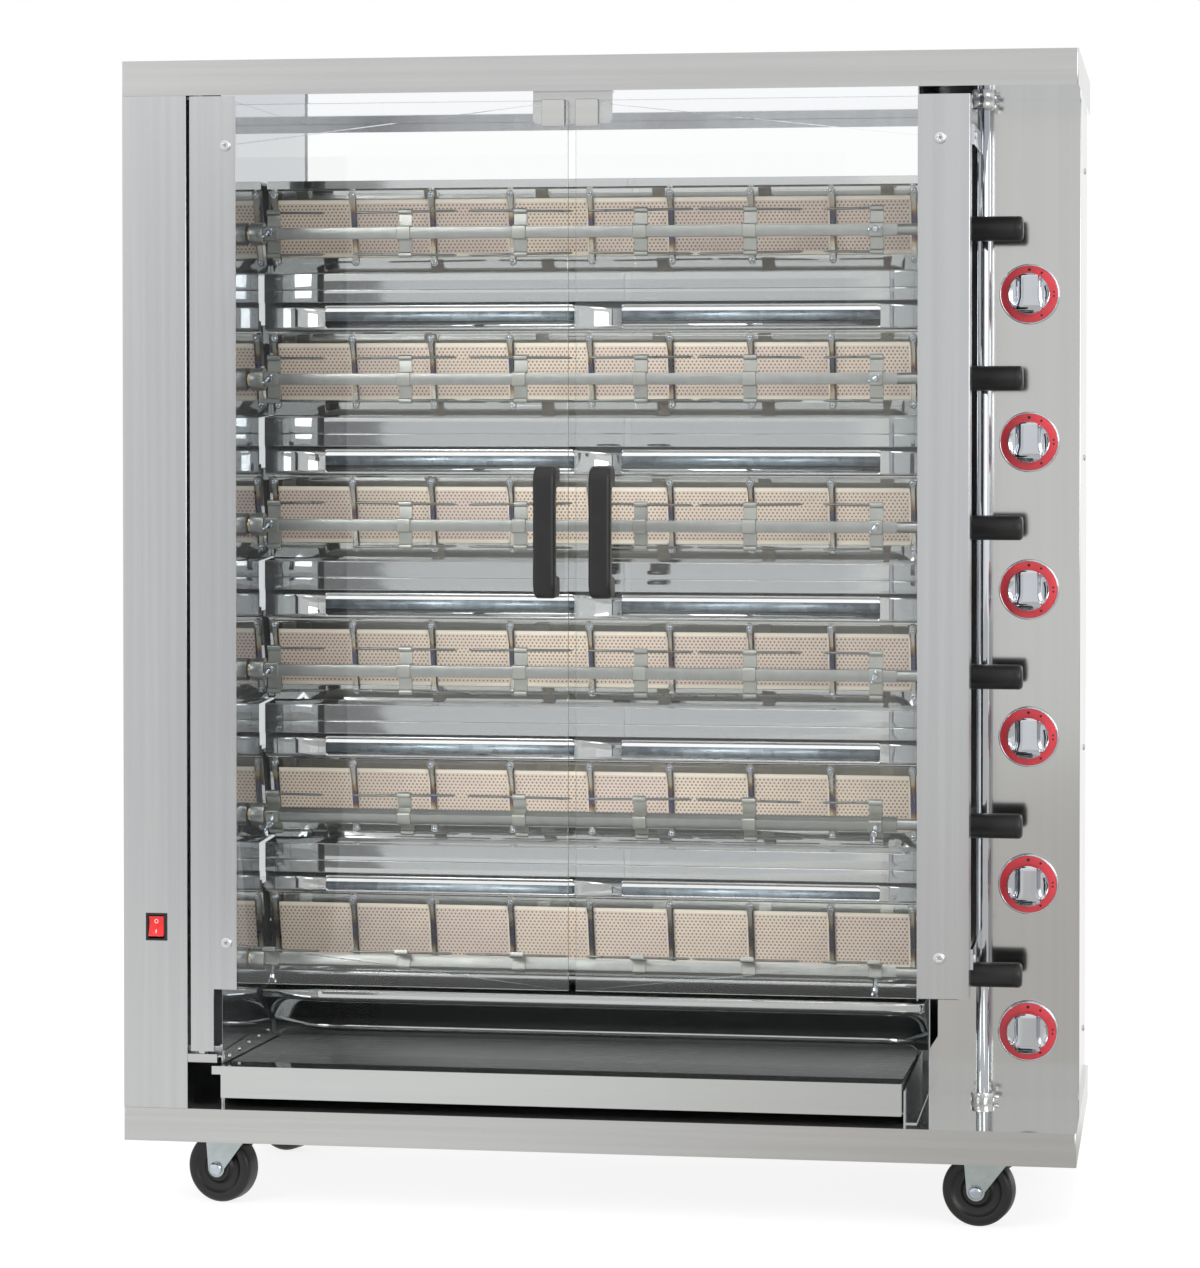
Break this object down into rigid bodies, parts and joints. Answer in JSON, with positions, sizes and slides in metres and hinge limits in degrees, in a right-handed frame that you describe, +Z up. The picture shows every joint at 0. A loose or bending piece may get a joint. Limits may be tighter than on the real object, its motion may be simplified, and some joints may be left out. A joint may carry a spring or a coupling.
{
  "type": "gas chicken rotisserie",
  "caption": "Free-standing gas rotisserie: stainless cabinet on swivel casters with ceramic burners, driven spits with forks, glass doors, drip tray and knobs.",
  "frame": {"origin": "on the floor, under the middle of the whole outline", "axes": "+Z up, -Y towards the user in front of the doors, +X to the user's right"},
  "size_m": [1.14, 0.542, 1.384],
  "materials": {
    "satin_steel": "satin brushed stainless sheet",
    "bright_steel": "bright stainless sheet, nearly mirror",
    "plated_steel": "zinc-plated steel",
    "chain_steel": "oiled bare steel",
    "burner_ceramic": "unglazed perforated cordierite",
    "gas_brass": "machined brass and plated pipe",
    "motor_paint": "dark enamel",
    "black_plastic": "black heat-resistant plastic",
    "red_plastic": "red translucent plastic",
    "door_glass": "clear toughened glass",
    "knob_chrome": "polished chrome with a red scale ring",
    "caster_rubber": "black rubber tyre on a black hub"
  },
  "bodies": {
    "cabinet": {"base_tray": "satin_steel", "top_cap": "satin_steel", "drive_housing": "satin_steel", "left_cavity_wall": "bright_steel", "right_cavity_wall": "bright_steel", "control_housing": "satin_steel", "rear_panel": "satin_steel", "burner_housings": "bright_steel", "ceramic_tiles": "burner_ceramic", "tile_clamps": "bright_steel", "baffle_shelves": "bright_steel", "gas_train": "gas_brass", "gear_motor": "motor_paint", "drive_chain": "chain_steel", "tray_rails": "bright_steel", "switch_frame": "black_plastic", "frame_brackets": "bright_steel"},
    "left_door": {"left_door_glass": "door_glass", "left_door_stile": "satin_steel", "left_door_handle": "black_plastic", "left_door_fittings": "plated_steel"},
    "right_door": {"right_door_glass": "door_glass", "right_door_stile": "satin_steel", "right_door_tube": "bright_steel", "right_door_handle": "black_plastic", "right_door_fittings": "plated_steel"},
    "tray": {"drip_tray": "bright_steel"},
    "rocker": {"switch_rocker": "red_plastic"},
    "socket_1": {"spit_socket_1": "chain_steel"},
    "spit_1": {"spit_1": "bright_steel", "spit_handle_1": "black_plastic"},
    "knob_1": {"knob_1": "knob_chrome"},
    "socket_2": {"spit_socket_2": "chain_steel"},
    "spit_2": {"spit_2": "bright_steel", "spit_handle_2": "black_plastic"},
    "knob_2": {"knob_2": "knob_chrome"},
    "socket_3": {"spit_socket_3": "chain_steel"},
    "spit_3": {"spit_3": "bright_steel", "spit_handle_3": "black_plastic"},
    "knob_3": {"knob_3": "knob_chrome"},
    "socket_4": {"spit_socket_4": "chain_steel"},
    "spit_4": {"spit_4": "bright_steel", "spit_handle_4": "black_plastic"},
    "knob_4": {"knob_4": "knob_chrome"},
    "socket_5": {"spit_socket_5": "chain_steel"},
    "spit_5": {"spit_5": "bright_steel", "spit_handle_5": "black_plastic"},
    "knob_5": {"knob_5": "knob_chrome"},
    "socket_6": {"spit_socket_6": "chain_steel"},
    "spit_6": {"spit_6": "bright_steel", "spit_handle_6": "black_plastic"},
    "knob_6": {"knob_6": "knob_chrome"},
    "fork_front_left": {"caster_fork_front_left": "plated_steel"},
    "wheel_front_left": {"caster_wheel_front_left": "caster_rubber"},
    "fork_front_right": {"caster_fork_front_right": "plated_steel"},
    "wheel_front_right": {"caster_wheel_front_right": "caster_rubber"},
    "fork_rear_left": {"caster_fork_rear_left": "plated_steel"},
    "wheel_rear_left": {"caster_wheel_rear_left": "caster_rubber"},
    "fork_rear_right": {"caster_fork_rear_right": "plated_steel"},
    "wheel_rear_right": {"caster_wheel_rear_right": "caster_rubber"}
  },
  "joints": [
    {"name": "left_door_swing", "type": "hinge", "parent": "cabinet", "child": "left_door", "pos_m": [-0.475, -0.225, 0.726], "axis": [0, 0, -1], "range_deg": [0, 110]},
    {"name": "right_door_swing", "type": "hinge", "parent": "cabinet", "child": "right_door", "pos_m": [0.4505, -0.034, 0.726], "axis": [0, 0, 1], "range_deg": [0, 105]},
    {"name": "tray_slide", "type": "slide", "parent": "cabinet", "child": "tray", "axis": [0, -1, 0], "range_m": [0, 0.25]},
    {"name": "switch_tilt", "type": "hinge", "parent": "cabinet", "child": "rocker", "pos_m": [-0.529, -0.23, 0.3445], "axis": [1, 0, 0], "range_deg": [0, 14]},
    {"name": "spit_turn_1", "type": "hinge", "parent": "cabinet", "child": "socket_1", "pos_m": [-0.455, -0.062, 1.184], "axis": [1, 0, 0], "continuous": true},
    {"name": "spit_pull_1", "type": "slide", "parent": "socket_1", "child": "spit_1", "axis": [1, 0, 0], "range_m": [0, 0.03]},
    {"name": "knob_turn_1", "type": "hinge", "parent": "cabinet", "child": "knob_1", "pos_m": [0.504, 0.006, 1.107], "axis": [0, -1, 0], "range_deg": [0, 180]},
    {"name": "spit_turn_2", "type": "hinge", "parent": "cabinet", "child": "socket_2", "pos_m": [-0.455, -0.062, 1.004], "axis": [1, 0, 0], "continuous": true},
    {"name": "spit_pull_2", "type": "slide", "parent": "socket_2", "child": "spit_2", "axis": [1, 0, 0], "range_m": [0, 0.03]},
    {"name": "knob_turn_2", "type": "hinge", "parent": "cabinet", "child": "knob_2", "pos_m": [0.504, 0.006, 0.927], "axis": [0, -1, 0], "range_deg": [0, 180]},
    {"name": "spit_turn_3", "type": "hinge", "parent": "cabinet", "child": "socket_3", "pos_m": [-0.455, -0.062, 0.824], "axis": [1, 0, 0], "continuous": true},
    {"name": "spit_pull_3", "type": "slide", "parent": "socket_3", "child": "spit_3", "axis": [1, 0, 0], "range_m": [0, 0.03]},
    {"name": "knob_turn_3", "type": "hinge", "parent": "cabinet", "child": "knob_3", "pos_m": [0.504, 0.006, 0.747], "axis": [0, -1, 0], "range_deg": [0, 180]},
    {"name": "spit_turn_4", "type": "hinge", "parent": "cabinet", "child": "socket_4", "pos_m": [-0.455, -0.062, 0.644], "axis": [1, 0, 0], "continuous": true},
    {"name": "spit_pull_4", "type": "slide", "parent": "socket_4", "child": "spit_4", "axis": [1, 0, 0], "range_m": [0, 0.03]},
    {"name": "knob_turn_4", "type": "hinge", "parent": "cabinet", "child": "knob_4", "pos_m": [0.504, 0.006, 0.567], "axis": [0, -1, 0], "range_deg": [0, 180]},
    {"name": "spit_turn_5", "type": "hinge", "parent": "cabinet", "child": "socket_5", "pos_m": [-0.455, -0.062, 0.464], "axis": [1, 0, 0], "continuous": true},
    {"name": "spit_pull_5", "type": "slide", "parent": "socket_5", "child": "spit_5", "axis": [1, 0, 0], "range_m": [0, 0.03]},
    {"name": "knob_turn_5", "type": "hinge", "parent": "cabinet", "child": "knob_5", "pos_m": [0.504, 0.006, 0.387], "axis": [0, -1, 0], "range_deg": [0, 180]},
    {"name": "spit_turn_6", "type": "hinge", "parent": "cabinet", "child": "socket_6", "pos_m": [-0.455, -0.062, 0.284], "axis": [1, 0, 0], "continuous": true},
    {"name": "spit_pull_6", "type": "slide", "parent": "socket_6", "child": "spit_6", "axis": [1, 0, 0], "range_m": [0, 0.03]},
    {"name": "knob_turn_6", "type": "hinge", "parent": "cabinet", "child": "knob_6", "pos_m": [0.504, 0.006, 0.207], "axis": [0, -1, 0], "range_deg": [0, 180]},
    {"name": "caster_swivel_front_left", "type": "hinge", "parent": "cabinet", "child": "fork_front_left", "pos_m": [-0.446, -0.159, 0.101], "axis": [0, 0, 1], "continuous": true},
    {"name": "caster_roll_front_left", "type": "hinge", "parent": "fork_front_left", "child": "wheel_front_left", "pos_m": [-0.46725, -0.15331, 0.0425], "axis": [0.2588, 0.9659, 0], "continuous": true},
    {"name": "caster_swivel_front_right", "type": "hinge", "parent": "cabinet", "child": "fork_front_right", "pos_m": [0.475, -0.159, 0.101], "axis": [0, 0, 1], "continuous": true},
    {"name": "caster_roll_front_right", "type": "hinge", "parent": "fork_front_right", "child": "wheel_front_right", "pos_m": [0.45333, -0.15518, 0.0425], "axis": [0.1736, 0.9848, 0], "continuous": true},
    {"name": "caster_swivel_rear_left", "type": "hinge", "parent": "cabinet", "child": "fork_rear_left", "pos_m": [-0.446, 0.171, 0.101], "axis": [0, 0, 1], "continuous": true},
    {"name": "caster_roll_rear_left", "type": "hinge", "parent": "fork_rear_left", "child": "wheel_rear_left", "pos_m": [-0.4664, 0.17924, 0.0425], "axis": [0.3746, 0.9272, 0], "continuous": true},
    {"name": "caster_swivel_rear_right", "type": "hinge", "parent": "cabinet", "child": "fork_rear_right", "pos_m": [0.475, 0.171, 0.101], "axis": [0, 0, 1], "continuous": true},
    {"name": "caster_roll_rear_right", "type": "hinge", "parent": "fork_rear_right", "child": "wheel_rear_right", "pos_m": [0.45312, 0.1733, 0.0425], "axis": [0.1045, 0.9945, 0], "continuous": true}
  ],
  "couplings": [
    {"joint": "spit_turn_1", "follows": "spit_turn_6", "ratio": 1},
    {"joint": "spit_turn_2", "follows": "spit_turn_6", "ratio": 1},
    {"joint": "spit_turn_3", "follows": "spit_turn_6", "ratio": 1},
    {"joint": "spit_turn_4", "follows": "spit_turn_6", "ratio": 1},
    {"joint": "spit_turn_5", "follows": "spit_turn_6", "ratio": 1}
  ]
}
